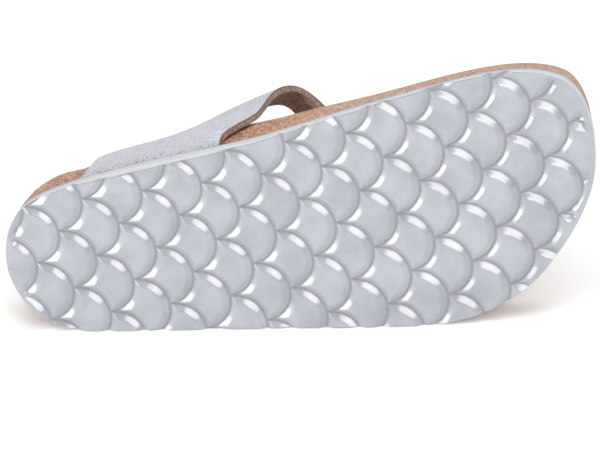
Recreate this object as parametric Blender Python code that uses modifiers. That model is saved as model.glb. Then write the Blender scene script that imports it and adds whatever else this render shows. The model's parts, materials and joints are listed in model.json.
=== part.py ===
"""A left toe post sandal: lugged outsole, cork footbed, suede lining, T-strap upper and toe post.

Every piece is worked out in the sandal's own frame, in millimetres: X from heel to toe, Y towards the
outer side of the foot, Z up from the ground. An empty then lays the whole sandal down on its outer side.
"""

import math
from collections import namedtuple

import bmesh
import bpy
import numpy as np
from mathutils import Matrix, Vector
from mathutils.geometry import intersect_ray_tri

MM = 0.001
INNER_SIDE = -1
OUTER_SIDE = 1

# Driving sizes in millimetres
SOLE_LENGTH = 257.0
TOE_SPRING = 12.5
SPRING_START = 136.0
HEEL_LIFT = 1.5
HEEL_ROLL = 22.0
FIT_GAP = 0.3

OUTSOLE_THICKNESS = 5.5
OUTSOLE_EDGE_ROUND = 1.1
OUTSOLE_WALL_DRAFT = 0.6

SCALE_RADIUS = 13.0
GROOVE_HALF_WIDTH = 2.2
GROOVE_DEPTH = 1.7
GROOVE_REACH = 0.5
GROOVE_STEPS = 8
SCALES_TO_A_SIDE = 3
BEND_STEP = 8.0

CORK_INSET = 1.0
CORK_LEAN = 2.2
RIM_LAND = 0.93
CUP_POWER = 2.6
CUP_SHARES = (1.0, RIM_LAND, 0.76, 0.5, 0.25, 0.0)
BASE_SHARES = (0.0, 0.5, 1.0)
LINING_THICKNESS = 1.5
SPINE_START = 34.0
SPINE_END = 216.0

STRAP_THICKNESS = 2.8
STRAP_SEAT_START = 37.0
STRAP_SEAT_END = 113.0
STRAP_SEAT_BACK_EASE = 12.0
STRAP_SEAT_FRONT_EASE = 34.0
STRAP_EDGE_INSET = 0.4

TONGUE_END = 167.0
TONGUE_ROWS = 10
TONGUE_BLEND_ROWS = 2
POST_LENGTH = 5.2
POST_WIDTH = 8.4
POST_FOOT_ALONG = 169.5
POST_SOCKET_DEPTH = 6.0
POST_SIDES = 16
POST_SHARES = (0.0, 0.35, 0.7, 1.0)

# Plan of the sole: half width, and how far its middle line drifts towards the outer side
PlanRow = namedtuple("PlanRow", "along half_width drift")
PLAN = [
    PlanRow(0.0, 0.0, 1.0),
    PlanRow(12.0, 26.0, 0.9),
    PlanRow(25.0, 31.3, 0.8),
    PlanRow(45.0, 34.9, 0.4),
    PlanRow(80.0, 38.9, 0.5),
    PlanRow(118.0, 42.7, 1.2),
    PlanRow(150.0, 47.6, 0.9),
    PlanRow(180.0, 51.4, 0.1),
    PlanRow(201.0, 51.0, -2.7),
    PlanRow(217.0, 47.8, -6.7),
    PlanRow(233.0, 40.4, -12.9),
    PlanRow(245.0, 31.6, -17.9),
    PlanRow(253.0, 21.2, -21.9),
    PlanRow(SOLE_LENGTH, 0.0, -26.0),
]

# Footbed heights above the outsole: both rims, and the floor of the cup between them
FootbedRow = namedtuple("FootbedRow", "along inner_rim outer_rim cup_floor")
FOOTBED = [
    FootbedRow(0.0, 22.0, 22.0, 10.5),
    FootbedRow(40.0, 21.0, 20.0, 8.5),
    FootbedRow(80.0, 22.0, 18.5, 10.0),
    FootbedRow(106.0, 29.0, 17.5, 12.0),
    FootbedRow(122.0, 26.5, 16.5, 13.0),
    FootbedRow(142.0, 19.0, 15.0, 12.5),
    FootbedRow(170.0, 13.0, 13.0, 10.0),
    FootbedRow(205.0, 10.6, 10.8, 7.6),
    FootbedRow(SOLE_LENGTH, 6.8, 6.8, 5.4),
]

# Last under the straps: height of its ridge above ground, and how square its shoulders are
LastRow = namedtuple("LastRow", "along ridge squareness")
LAST = [
    LastRow(36.0, 40.0, 2.2),
    LastRow(60.0, 43.0, 2.2),
    LastRow(82.0, 53.0, 2.3),
    LastRow(95.0, 69.0, 2.7),
    LastRow(107.0, 79.0, 3.0),
    LastRow(119.0, 83.0, 3.5),
    LastRow(130.0, 76.5, 3.7),
    LastRow(143.0, 60.0, 3.4),
    LastRow(156.0, 40.0, 3.0),
    LastRow(TONGUE_END, 25.5, 3.0),
]

# Cut of each wing, from its foot on the sole (0) over the rim to the ridge (1): back and front edge
WingRow = namedtuple("WingRow", "climb back front")
WING = [
    WingRow(0.00, 40.0, 101.5),
    WingRow(0.13, 41.0, 101.0),
    WingRow(0.22, 43.0, 110.8),
    WingRow(0.30, 49.0, 112.6),
    WingRow(0.42, 64.0, 113.5),
    WingRow(0.52, 80.0, 115.5),
    WingRow(0.58, 95.0, 117.5),
    WingRow(0.64, 107.5, 119.5),
    WingRow(0.70, 111.5, 122.0),
    WingRow(0.77, 113.5, 125.5),
    WingRow(1.00, 115.5, 128.5),
]
RIM_CLIMB = 0.22
TONGUE_CLIMB = 0.77
WING_COLUMNS = 24
WING_ROWS = 9
TONGUE_COLUMNS = 4

# Tongue: half width and where its middle line runs, towards the inner side of the foot
TongueRow = namedtuple("TongueRow", "along half_width middle")
TONGUE = [
    TongueRow(124.0, 17.0, -1.0),
    TongueRow(132.0, 12.0, -4.0),
    TongueRow(143.0, 10.6, -7.5),
    TongueRow(155.0, 8.6, -11.0),
    TongueRow(TONGUE_END, 7.6, -13.0),
]

OUTLINE_POINTS = 76
BALANCE_POINT = (122.0, 0.0, 17.0)
LAYING_ROUNDS = 4

# Modelling tolerances in metres, and the angle from which an edge is shaded sharp
WELD_DISTANCE = 1e-6
PLANE_DISTANCE = 1e-7
SHARP_EDGE = math.radians(35)

COLOURS = {
    "outsole": ((0.52, 0.54, 0.58, 1.0), 0.32, 0.0),
    "cork_footbed": ((0.55, 0.38, 0.30, 1.0), 0.85, 0.0),
    "insole_lining": ((0.24, 0.18, 0.14, 1.0), 0.95, 0.0),
    "upper_straps": ((0.63, 0.62, 0.68, 1.0), 0.38, 0.0),
    "toe_post": ((0.63, 0.62, 0.68, 1.0), 0.42, 0.0),
}


def smooth_column(rows, column, key=lambda along: along):
    """A smooth curve through one column of a table, read by the table's first column."""
    places = np.array([key(row[0]) for row in rows])
    values = np.array([getattr(row, column) for row in rows])
    slopes = np.gradient(values, places)

    def value_at(place):
        index = int(np.clip(np.searchsorted(places, place) - 1, 0, len(places) - 2))
        span = places[index + 1] - places[index]
        t = float(np.clip((place - places[index]) / span, 0.0, 1.0))
        start = values[index] * (1 + 2 * t) + slopes[index] * span * t
        end = values[index + 1] * (3 - 2 * t) - slopes[index + 1] * span * (1 - t)
        return float(start * (1 - t) ** 2 + end * t ** 2)

    return value_at


def turn_of(along):
    """Angle that runs from 0 at the heel to pi at the toe, so that both ends come out round."""
    return math.acos(1 - 2 * along / SOLE_LENGTH)


def soft_step(value, start, end):
    t = min(max((value - start) / (end - start), 0.0), 1.0)
    return t * t * (3 - 2 * t)


plan_half_width = smooth_column(PLAN, "half_width", turn_of)
plan_drift = smooth_column(PLAN, "drift", turn_of)
inner_rim = smooth_column(FOOTBED, "inner_rim")
outer_rim = smooth_column(FOOTBED, "outer_rim")
cup_floor = smooth_column(FOOTBED, "cup_floor")
last_ridge = smooth_column(LAST, "ridge")
last_squareness = smooth_column(LAST, "squareness")
wing_back = smooth_column(WING, "back")
wing_front = smooth_column(WING, "front")
tongue_half_width = smooth_column(TONGUE, "half_width")
tongue_middle = smooth_column(TONGUE, "middle")


def half_width_at(along):
    return plan_half_width(turn_of(along))


def drift_at(along):
    return plan_drift(turn_of(along))


def ground_at(along):
    """Height of the tread: flat under heel and ball, rolled up at the heel, sprung at the toe."""
    toe = max(0.0, along - SPRING_START) / (SOLE_LENGTH - SPRING_START)
    heel = max(0.0, HEEL_ROLL - along) / HEEL_ROLL
    return TOE_SPRING * toe ** 2 + HEEL_LIFT * heel ** 2


def station(index):
    """Turn angle, and place along the sole, of one point of its outline."""
    angle = 2 * math.pi * index / OUTLINE_POINTS
    turn = min(angle, 2 * math.pi - angle)
    return turn, SOLE_LENGTH / 2 * (1 - math.cos(turn))


def outline(inset=0.0):
    """Plan points of the sole from the heel along the inner side to the toe and back.

    The inset moves each point inwards, square to the edge; it is a distance or a function of along.
    """
    points = []
    for index in range(OUTLINE_POINTS):
        turn, along = station(index)
        side = INNER_SIDE if index < OUTLINE_POINTS / 2 else OUTER_SIDE
        points.append((along, plan_drift(turn) + side * plan_half_width(turn)))
    points = np.array(points)
    tangents = np.roll(points, -1, axis=0) - np.roll(points, 1, axis=0)
    tangents /= np.linalg.norm(tangents, axis=1)[:, None]
    inward = np.column_stack([-tangents[:, 1], tangents[:, 0]])
    depths = np.array([inset(along) if callable(inset) else inset for along in points[:, 0]])
    return points + inward * depths[:, None]


def strap_seat(along):
    """How much deeper the footbed's side is set back, where a wing of the strap covers it."""
    into = soft_step(along, STRAP_SEAT_START - STRAP_SEAT_BACK_EASE, STRAP_SEAT_START)
    out = soft_step(along, STRAP_SEAT_END, STRAP_SEAT_END + STRAP_SEAT_FRONT_EASE)
    return (STRAP_THICKNESS + FIT_GAP + STRAP_EDGE_INSET - CORK_INSET) * into * (1 - out)


def cork_foot_inset(along):
    return CORK_INSET + strap_seat(along)


def cork_rim_inset(along):
    return cork_foot_inset(along) + CORK_LEAN


def footbed_height(along, share, rim_place):
    """Height of the cork's top, at a share of the way from the spine to a point of the rim."""
    rim = inner_rim(rim_place[0]) if rim_place[1] < drift_at(rim_place[0]) else outer_rim(rim_place[0])
    floor = cup_floor(along)
    reach = min(share / RIM_LAND, 1.0)
    base = ground_at(along) + OUTSOLE_THICKNESS + FIT_GAP
    return base + floor + (rim - floor) * reach ** CUP_POWER


def plan_ring(rim, share):
    """The rim's plan points drawn in towards the spine of the footbed by a share from 1 to 0."""
    ring = []
    for index, point in enumerate(rim):
        spine_along = min(max(station(index)[1], SPINE_START), SPINE_END)
        spine = np.array([spine_along, drift_at(spine_along)])
        ring.append(spine + (point - spine) * share)
    return ring


def mesh_object(name, rings, collection, closed_ends):
    """An object from rings of points with quads between them; rings that meet in a line are welded."""
    mesh_data = bmesh.new()
    vertex_rings = [[mesh_data.verts.new(Vector(p) * MM) for p in ring] for ring in rings]
    count = len(rings[0])
    for low, high in zip(vertex_rings, vertex_rings[1:]):
        for k in range(count):
            mesh_data.faces.new((low[k], low[(k + 1) % count], high[(k + 1) % count], high[k]))
    if closed_ends:
        mesh_data.faces.new(vertex_rings[0])
        mesh_data.faces.new(vertex_rings[-1])
    bmesh.ops.remove_doubles(mesh_data, verts=mesh_data.verts, dist=WELD_DISTANCE)
    bmesh.ops.dissolve_degenerate(mesh_data, edges=mesh_data.edges, dist=PLANE_DISTANCE)
    bmesh.ops.triangulate(mesh_data, faces=mesh_data.faces, quad_method="SHORT_EDGE")
    bmesh.ops.recalc_face_normals(mesh_data, faces=mesh_data.faces)
    return finish_object(name, mesh_data, collection)


def finish_object(name, mesh_data, collection):
    mesh = bpy.data.meshes.new(name)
    mesh_data.to_mesh(mesh)
    mesh_data.free()
    made = bpy.data.objects.new(name, mesh)
    collection.objects.link(made)
    return made


def paint(made):
    colour, roughness, metallic = COLOURS[made.name]
    material = bpy.data.materials.new(made.name)
    material.use_nodes = True
    shader = material.node_tree.nodes["Principled BSDF"]
    shader.inputs["Base Color"].default_value = colour
    shader.inputs["Roughness"].default_value = roughness
    shader.inputs["Metallic"].default_value = metallic
    made.data.materials.append(material)
    made.data.shade_smooth()
    made.data.set_sharp_from_angle(angle=SHARP_EDGE)


def evaluated_mesh(made):
    bpy.context.view_layer.update()
    graph = bpy.context.evaluated_depsgraph_get()
    return bpy.data.meshes.new_from_object(made.evaluated_get(graph))


def cut(made, cutter, crossing=False):
    """Takes the cutter away from a piece and keeps the result as the piece's own mesh."""
    boolean = made.modifiers.new("cut", "BOOLEAN")
    boolean.operation = "DIFFERENCE"
    boolean.solver = "EXACT"
    boolean.use_self = crossing
    boolean.object = cutter
    cut_mesh = evaluated_mesh(made)
    made.modifiers.remove(boolean)
    made.data = cut_mesh


def hide_cutter(cutter):
    cutter.hide_render = True
    cutter.display_type = "WIRE"


def make_tread_grooves(cutters):
    """V grooves along half circles, set in staggered rows like scales, all in one cutter."""
    grooves = bmesh.new()
    wide = GROOVE_HALF_WIDTH * (GROOVE_DEPTH + GROOVE_REACH) / GROOVE_DEPTH
    profile = ((-wide, -GROOVE_REACH), (wide, -GROOVE_REACH), (0.0, GROOVE_DEPTH))
    for row in range(-1, int(SOLE_LENGTH / SCALE_RADIUS) + 1):
        for place in range(-SCALES_TO_A_SIDE, SCALES_TO_A_SIDE + 1):
            middle_along = row * SCALE_RADIUS
            middle_across = (2 * place + row % 2) * SCALE_RADIUS
            rings = []
            for step in range(GROOVE_STEPS + 1):
                angle = math.pi * (step / GROOVE_STEPS - 0.5)
                ring = []
                for aside, height in profile:
                    radius = SCALE_RADIUS + aside
                    along = middle_along + radius * math.cos(angle)
                    across = middle_across + radius * math.sin(angle)
                    ring.append(grooves.verts.new(Vector((along, across, height)) * MM))
                rings.append(ring)
            for low, high in zip(rings, rings[1:]):
                for k in range(3):
                    grooves.faces.new((low[k], low[(k + 1) % 3], high[(k + 1) % 3], high[k]))
            grooves.faces.new(rings[0])
            grooves.faces.new(rings[-1])
    bmesh.ops.recalc_face_normals(grooves, faces=grooves.faces)
    made = finish_object("tread_grooves", grooves, cutters)
    hide_cutter(made)
    return made


def bend_to_ground(made):
    """Splits a flat slab across at even steps, then lifts it to follow the heel roll and toe spring."""
    slab = bmesh.new()
    slab.from_mesh(made.data)
    places = list(np.arange(SPRING_START, SOLE_LENGTH, BEND_STEP))
    places += list(np.arange(HEEL_ROLL, 0.0, -BEND_STEP / 2))
    for place in places:
        everything = slab.verts[:] + slab.edges[:] + slab.faces[:]
        bmesh.ops.bisect_plane(
            slab, geom=everything, dist=PLANE_DISTANCE, plane_co=(place * MM, 0, 0), plane_no=(1, 0, 0)
        )
    bmesh.ops.triangulate(slab, faces=slab.faces)
    for vertex in slab.verts:
        vertex.co.z += ground_at(vertex.co.x / MM) * MM
    slab.to_mesh(made.data)
    slab.free()


def make_outsole(parts, cutters):
    levels = (
        (0.0, OUTSOLE_EDGE_ROUND),
        (OUTSOLE_EDGE_ROUND * 0.35, OUTSOLE_EDGE_ROUND * 0.3),
        (OUTSOLE_EDGE_ROUND, 0.0),
        (OUTSOLE_THICKNESS, OUTSOLE_WALL_DRAFT),
    )
    rings = [[(along, across, height) for along, across in outline(inset)] for height, inset in levels]
    made = mesh_object("outsole", rings, parts, True)
    cut(made, make_tread_grooves(cutters), crossing=True)
    bend_to_ground(made)
    return made


def make_cork_footbed(parts):
    def bottom(along):
        return ground_at(along) + OUTSOLE_THICKNESS + FIT_GAP

    foot = outline(cork_foot_inset)
    rim = outline(cork_rim_inset)
    rings = []
    for share in BASE_SHARES:
        rings.append([(x, y, bottom(x)) for x, y in plan_ring(foot, share)])
    for share in CUP_SHARES:
        ring = plan_ring(rim, share)
        rings.append([(p[0], p[1], footbed_height(p[0], share, r)) for p, r in zip(ring, rim)])
    return mesh_object("cork_footbed", rings, parts, False)


def make_insole_lining(parts):
    rim = outline(cork_rim_inset)
    rings = []
    for lift, shares in (
        (FIT_GAP, CUP_SHARES[::-1]),
        (FIT_GAP + LINING_THICKNESS, CUP_SHARES),
    ):
        for share in shares:
            ring = plan_ring(rim, share)
            rings.append([(p[0], p[1], footbed_height(p[0], share, r) + lift) for p, r in zip(ring, rim)])
    return mesh_object("insole_lining", rings, parts, False)


def last_shoulder(along, side):
    """Half width and height of the last where the strap leaves the footbed's rim."""
    rim = inner_rim(along) if side == INNER_SIDE else outer_rim(along)
    foot = half_width_at(along) - STRAP_EDGE_INSET - STRAP_THICKNESS
    return foot, foot - CORK_LEAN / 2, ground_at(along) + OUTSOLE_THICKNESS + 2 * FIT_GAP + rim


def last_point(along, climb, side):
    """A point of the last's skin: up the footbed's side to the rim, then round over the instep."""
    foot, shoulder, shoulder_height = last_shoulder(along, side)
    foot_height = ground_at(along) + OUTSOLE_THICKNESS + FIT_GAP
    if climb <= RIM_CLIMB:
        share = climb / RIM_CLIMB
        across = foot + (shoulder - foot) * share
        return along, drift_at(along) + side * across, foot_height + (shoulder_height - foot_height) * share
    turn = math.pi / 2 * (climb - RIM_CLIMB) / (1 - RIM_CLIMB)
    power = last_squareness(along)
    outward = max(math.cos(turn), 0.0)
    upward = math.sin(turn)
    reach = (outward ** power + upward ** power) ** (-1 / power)
    across = shoulder * outward * reach
    rise = (last_ridge(along) - shoulder_height) * upward * reach
    return along, drift_at(along) + side * across, shoulder_height + rise


def last_height(along, across):
    """Height of the last's skin over a point near its ridge."""
    side = INNER_SIDE if across < drift_at(along) else OUTER_SIDE
    shoulder, shoulder_height = last_shoulder(along, side)[1:]
    power = last_squareness(along)
    share = min(abs(across - drift_at(along)) / shoulder, 1.0)
    return shoulder_height + (last_ridge(along) - shoulder_height) * (1 - share ** power) ** (1 / power)


def wing_columns():
    """Climb and side of each column of the wings, from the inner foot over the ridge to the outer foot."""
    climbs = [TONGUE_CLIMB * k / WING_COLUMNS for k in range(WING_COLUMNS)]
    crest = [TONGUE_CLIMB + (1 - TONGUE_CLIMB) * k / TONGUE_COLUMNS for k in range(TONGUE_COLUMNS + 1)]
    inner = [(climb, INNER_SIDE) for climb in climbs + crest]
    return inner + [(climb, OUTER_SIDE) for climb, side in reversed(inner[:-1])]


def make_upper_straps(parts):
    columns = wing_columns()
    skin = bmesh.new()
    grid = []
    for climb, side in columns:
        back = wing_back(climb)
        front = wing_front(climb)
        column = []
        for row in range(WING_ROWS + 1):
            along = back + (front - back) * row / WING_ROWS
            column.append(skin.verts.new(Vector(last_point(along, climb, side)) * MM))
        grid.append(column)
    middle = len(columns) // 2
    for k in range(-TONGUE_COLUMNS, TONGUE_COLUMNS + 1):
        root = grid[middle + k][-1].co / MM
        for row in range(1, TONGUE_ROWS + 1):
            along = root.x + (TONGUE_END - root.x) * row / TONGUE_ROWS
            aim = tongue_middle(along) + tongue_half_width(along) * k / TONGUE_COLUMNS
            across = root.y + (aim - root.y) * soft_step(row, 0, TONGUE_BLEND_ROWS)
            point = Vector((along, across, last_height(along, across)))
            grid[middle + k].append(skin.verts.new(point * MM))
    for left, right in zip(grid, grid[1:]):
        for row in range(min(len(left), len(right)) - 1):
            skin.faces.new((left[row], right[row], right[row + 1], left[row + 1]))
    bmesh.ops.recalc_face_normals(skin, faces=skin.faces)
    if sum(face.normal.z * face.calc_area() for face in skin.faces) < 0:
        bmesh.ops.reverse_faces(skin, faces=skin.faces)
    made = finish_object("upper_straps", skin, parts)
    shell = made.modifiers.new("wall", "SOLIDIFY")
    shell.thickness = STRAP_THICKNESS * MM
    shell.offset = 1.0
    shell.use_even_offset = True
    return made


def post_rings(grow, top_drop):
    """Rings of the toe post from its foot in the footbed up to the underside of the tongue's tip."""
    foot_height = footbed_height(POST_FOOT_ALONG, 0.0, (POST_FOOT_ALONG, 0.0)) - POST_SOCKET_DEPTH - grow
    middle = tongue_middle(TONGUE_END)
    head_along = TONGUE_END - POST_LENGTH / 2
    rings = []
    for share in POST_SHARES:
        centre_along = POST_FOOT_ALONG + (head_along - POST_FOOT_ALONG) * share
        ring = []
        for k in range(POST_SIDES):
            angle = 2 * math.pi * k / POST_SIDES
            along = centre_along + (POST_LENGTH / 2 + grow) * math.cos(angle)
            across = middle + (POST_WIDTH / 2 + grow) * math.sin(angle)
            top = last_height(min(along, TONGUE_END), across) - top_drop
            ring.append((along, across, foot_height + (top - foot_height) * share))
        rings.append(ring)
    return rings


def make_toe_post(parts, cutters):
    made = mesh_object("toe_post", post_rings(0.0, FIT_GAP * 2), parts, True)
    socket = mesh_object("post_socket", post_rings(FIT_GAP, 0.0), cutters, True)
    hide_cutter(socket)
    return made, socket


def lay_down(pieces):
    """Lays the sandal on the floor on its outer side, where sole edge and strap both touch."""
    points = []
    for piece in pieces:
        points += [vertex.co.copy() for vertex in evaluated_mesh(piece).vertices]
    hull = bmesh.new()
    for point in points:
        hull.verts.new(point)
    bmesh.ops.convex_hull(hull, input=hull.verts)
    bmesh.ops.triangulate(hull, faces=hull.faces)
    start = Vector(BALANCE_POINT) * MM
    down = Vector((0, OUTER_SIDE, 0))
    for _ in range(LAYING_ROUNDS):
        for face in hull.faces:
            corners = [vertex.co for vertex in face.verts]
            if face.normal.dot(down) > 0 and intersect_ray_tri(*corners, down, start, True):
                down = face.normal.copy()
                break
    hull.free()
    upward = -down
    forward = (Vector((1, 0, 0)) - upward * upward.x).normalized()
    turn = Matrix((forward, upward.cross(forward), upward))
    turned = np.array([turn @ point for point in points])
    low = turned.min(axis=0)
    high = turned.max(axis=0)
    shift = Vector((-(low[0] + high[0]) / 2, -(low[1] + high[1]) / 2, -low[2]))
    pose = bpy.data.objects.new("lying_pose", None)
    bpy.context.scene.collection.objects.link(pose)
    pose.matrix_world = Matrix.Translation(shift) @ turn.to_4x4()
    for piece in pieces:
        piece.parent = pose
    bpy.context.view_layer.update()


def main():
    for leftover in list(bpy.data.objects):
        bpy.data.objects.remove(leftover, do_unlink=True)
    parts = bpy.data.collections.new("toe_post_sandal")
    cutters = bpy.data.collections.new("cutters")
    for collection in (parts, cutters):
        bpy.context.scene.collection.children.link(collection)
    outsole = make_outsole(parts, cutters)
    cork = make_cork_footbed(parts)
    lining = make_insole_lining(parts)
    straps = make_upper_straps(parts)
    post, socket = make_toe_post(parts, cutters)
    cut(cork, socket)
    cut(lining, socket)
    pieces = [outsole, cork, lining, straps, post]
    for piece in pieces:
        paint(piece)
    lay_down(pieces)


main()
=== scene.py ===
# %% [markdown]
# # A toe post sandal on its side
# The solids of this sandal are already made and packed: a rubber outsole, a cork footbed, a suede lining,
# a leather T-strap and the post between the toes. This lesson dresses them. It could be done by painting
# the solids as they are, but their facets and plain channels would show, so each solid is replaced by a
# finer mesh that is measured from it and keeps its form.

# %% Load the packed sandal
import json
import math
from collections import namedtuple

import bmesh
import bpy
import numpy as np
from mathutils import Matrix, Vector, noise
from mathutils.bvhtree import BVHTree
from mathutils.kdtree import KDTree


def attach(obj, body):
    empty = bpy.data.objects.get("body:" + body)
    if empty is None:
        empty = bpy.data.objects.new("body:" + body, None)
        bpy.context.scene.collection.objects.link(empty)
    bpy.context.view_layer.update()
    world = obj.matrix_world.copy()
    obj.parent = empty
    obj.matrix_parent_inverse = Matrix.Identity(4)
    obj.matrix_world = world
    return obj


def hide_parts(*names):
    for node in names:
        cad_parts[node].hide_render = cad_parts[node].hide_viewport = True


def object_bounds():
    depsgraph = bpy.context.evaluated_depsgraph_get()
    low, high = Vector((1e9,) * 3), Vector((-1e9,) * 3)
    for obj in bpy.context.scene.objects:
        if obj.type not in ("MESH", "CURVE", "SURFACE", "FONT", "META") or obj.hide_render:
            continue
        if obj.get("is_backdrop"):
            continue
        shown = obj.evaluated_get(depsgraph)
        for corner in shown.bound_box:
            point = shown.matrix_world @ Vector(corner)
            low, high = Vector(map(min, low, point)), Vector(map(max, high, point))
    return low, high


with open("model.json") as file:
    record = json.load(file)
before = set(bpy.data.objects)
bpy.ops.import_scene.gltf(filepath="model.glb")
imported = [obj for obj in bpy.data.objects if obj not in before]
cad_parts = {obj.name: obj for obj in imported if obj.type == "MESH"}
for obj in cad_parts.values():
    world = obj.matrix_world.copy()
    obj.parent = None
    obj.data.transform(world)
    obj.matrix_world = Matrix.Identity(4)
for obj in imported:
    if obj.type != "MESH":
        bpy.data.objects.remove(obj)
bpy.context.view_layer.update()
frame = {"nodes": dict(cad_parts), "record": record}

print("solids:", sorted(frame["nodes"]))

# %% [markdown]
# ## The sandal's own frame
# The sandal lies on its outer side, so its length, width and height run askew to the floor. Working in a
# frame of its own is easier: X from heel to toe, Y to the outer side, Z up from the tread, in
# millimetres. Two flat spots of the tread are named in the record with their distance from the heel, and
# they fix it.

# %% Find the sandal's frame
MM = 0.001
HEEL_SPOT_ALONG = 55.5
mounts = {mount["name"]: mount for mount in frame["record"]["mounts"]}
heel_spot = Vector(mounts["heel_tread"]["pos_m"])
waist_spot = Vector(mounts["waist_tread"]["pos_m"])
along_axis = (waist_spot - heel_spot).normalized()
up_axis = -Vector(mounts["heel_tread"]["axis"]).normalized()
outer_axis = up_axis.cross(along_axis).normalized()
up_axis = along_axis.cross(outer_axis)
heel_corner = heel_spot - along_axis * HEEL_SPOT_ALONG * MM
lying = Matrix.Translation(heel_corner) @ Matrix((along_axis, outer_axis, up_axis)).transposed().to_4x4()
upright = lying.inverted()
print("heel corner at", [round(value, 4) for value in heel_corner])

# %% [markdown]
# ## The camera
# The photograph looks at the tread from a little above, with the toe to the right. A camera could be aimed
# by eye, but here its right and up directions and the middle of the picture are written in the sandal's
# frame, so the view stays the same however the sandal lies. A very long lens far away keeps the lines as
# parallel as the photograph's.

# %% Aim the camera
VIEW_RIGHT = Vector((0.9524, 0.2300, 0.2000))
VIEW_UP = Vector((0.1288, -0.8983, 0.4200))
VIEW_MIDDLE_RIGHT = 122.0
VIEW_MIDDLE_UP = 18.28
VIEW_WIDTH = 248.45
LENS = 1000.0
SENSOR = 36.0
FAR_CLIP = 100.0


def aim_camera():
    right = VIEW_RIGHT.normalized()
    up = (VIEW_UP - right * VIEW_UP.dot(right)).normalized()
    back = right.cross(up)
    distance = VIEW_WIDTH * LENS / SENSOR
    place = right * VIEW_MIDDLE_RIGHT + up * VIEW_MIDDLE_UP + back * distance
    turn = Matrix((right, up, back)).transposed().to_4x4()
    data = bpy.data.cameras.new("photo_camera")
    data.lens = LENS
    data.sensor_width = SENSOR
    data.clip_end = FAR_CLIP
    camera = bpy.data.objects.new("photo_camera", data)
    bpy.context.scene.collection.objects.link(camera)
    camera.matrix_world = lying @ Matrix.Translation(place * MM) @ turn
    bpy.context.scene.camera = camera
    return camera


camera = aim_camera()
print("camera height above the floor:", round(camera.matrix_world.translation.z, 2), "m")

# %% [markdown]
# ## A small kit for finishes
# A finish is a tree of shader nodes. Linking nodes by hand makes long scripts, so a thin wrapper lets
# Python's own operators add the Math nodes, and one method makes every other node from its type, its
# settings and its sockets. A pattern reads the place that each point had before the sandal was laid down,
# in millimetres, so it runs along the sandal however that lies.


# %% Shader values
class Value:
    """One output socket; sums and products with it add Math nodes to its finish."""

    def __init__(self, finish, socket):
        self.finish = finish
        self.socket = socket

    def math(self, operation, first, second):
        return self.finish.node("ShaderNodeMath", {"operation": operation}, {0: first, 1: second})

    def __add__(self, other):
        return self.math("ADD", self, other)

    def __radd__(self, other):
        return self.math("ADD", other, self)

    def __sub__(self, other):
        return self.math("SUBTRACT", self, other)

    def __rsub__(self, other):
        return self.math("SUBTRACT", other, self)

    def __mul__(self, other):
        return self.math("MULTIPLY", self, other)

    def __rmul__(self, other):
        return self.math("MULTIPLY", other, self)


# %% Finishes
class Finish:
    """A material whose nodes are made from Python."""

    def __init__(self, name):
        self.material = bpy.data.materials.new(name)
        self.material.use_nodes = True
        self.tree = self.material.node_tree
        self.shader = self.tree.nodes["Principled BSDF"]
        self.place = self.read("place", "Vector")

    def plug(self, socket, value):
        """Links a value to a socket, or sets a plain number or colour there."""
        if isinstance(value, Value):
            self.tree.links.new(value.socket, socket)
        else:
            socket.default_value = value

    def node(self, kind, settings, sockets, output=0):
        """A new node with these properties and inputs; one of its outputs is given back."""
        made = self.tree.nodes.new(kind)
        for name, value in settings.items():
            if name == "stops":
                self.set_stops(made.color_ramp, value)
            else:
                setattr(made, name, value)
        for name, value in sockets.items():
            self.plug(made.inputs[name], value)
        return Value(self, made.outputs[output])

    def read(self, name, output="Fac"):
        """A value that was stored at the points of the mesh."""
        return self.node("ShaderNodeAttribute", {"attribute_name": name}, {}, output)

    def set_stops(self, ramp, stops):
        """Sets the places and colours of a colour ramp."""
        while len(ramp.elements) < len(stops):
            ramp.elements.new(0.5)
        for element, (position, colour) in zip(ramp.elements, stops):
            element.position = position
            element.color = colour

    def surface(self, sockets):
        """Sets inputs of the shader that ends the tree."""
        for name, value in sockets.items():
            self.plug(self.shader.inputs[name], value)

    def mix(self, share, first, second, blend="MIX"):
        """The first colour, with a share of the second one mixed in."""
        settings = {"data_type": "RGBA", "blend_type": blend}
        return self.node("ShaderNodeMix", settings, {0: share, 6: first, 7: second}, 2)

    def between(self, value, low, high):
        """0 below low, 1 above high, and an eased step between them."""
        settings = {"interpolation_type": "SMOOTHSTEP"}
        sockets = {"Value": value, "From Min": low, "From Max": high}
        return self.node("ShaderNodeMapRange", settings, sockets)

    def axis(self, letter):
        """The place along X, Y or Z of the sandal's frame, in millimetres."""
        return self.node("ShaderNodeSeparateXYZ", {}, {"Vector": self.place}, letter)

    def stretched(self, x, y, z):
        """Places in millimetres, times a factor in each direction."""
        sockets = {0: self.place, 1: (x, y, z)}
        return self.node("ShaderNodeVectorMath", {"operation": "MULTIPLY"}, sockets)

    def cloud(self, size, detail=3.0, rough=0.55, place=None):
        """Smooth noise with lumps of about this size in millimetres, from 0 to 1."""
        sockets = {"Vector": place or self.place, "Scale": 1 / size}
        sockets.update({"Detail": detail, "Roughness": rough})
        return self.node("ShaderNodeTexNoise", {}, sockets, "Fac")

    def cells(self, size, output, feature="F1"):
        """A packing of crumbs of about this size in millimetres."""
        sockets = {"Vector": self.place, "Scale": 1 / size}
        return self.node("ShaderNodeTexVoronoi", {"feature": feature}, sockets, output)

    def bump(self, height, depth, strength=1.0, below=None):
        """A normal from a height from 0 to 1 that stands for this depth in millimetres."""
        sockets = {"Height": height, "Distance": depth * MM, "Strength": strength}
        if below is not None:
            sockets["Normal"] = below
        return self.node("ShaderNodeBump", {}, sockets)


# %% Helpers that dress a piece
def remember_places(piece):
    """Stores where each point is now, in millimetres, for the finishes to read."""
    places = np.array([vertex.co for vertex in piece.data.vertices]) / MM
    stored = piece.data.attributes.new("place", "FLOAT_VECTOR", "POINT")
    stored.data.foreach_set("vector", places.ravel())


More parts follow.
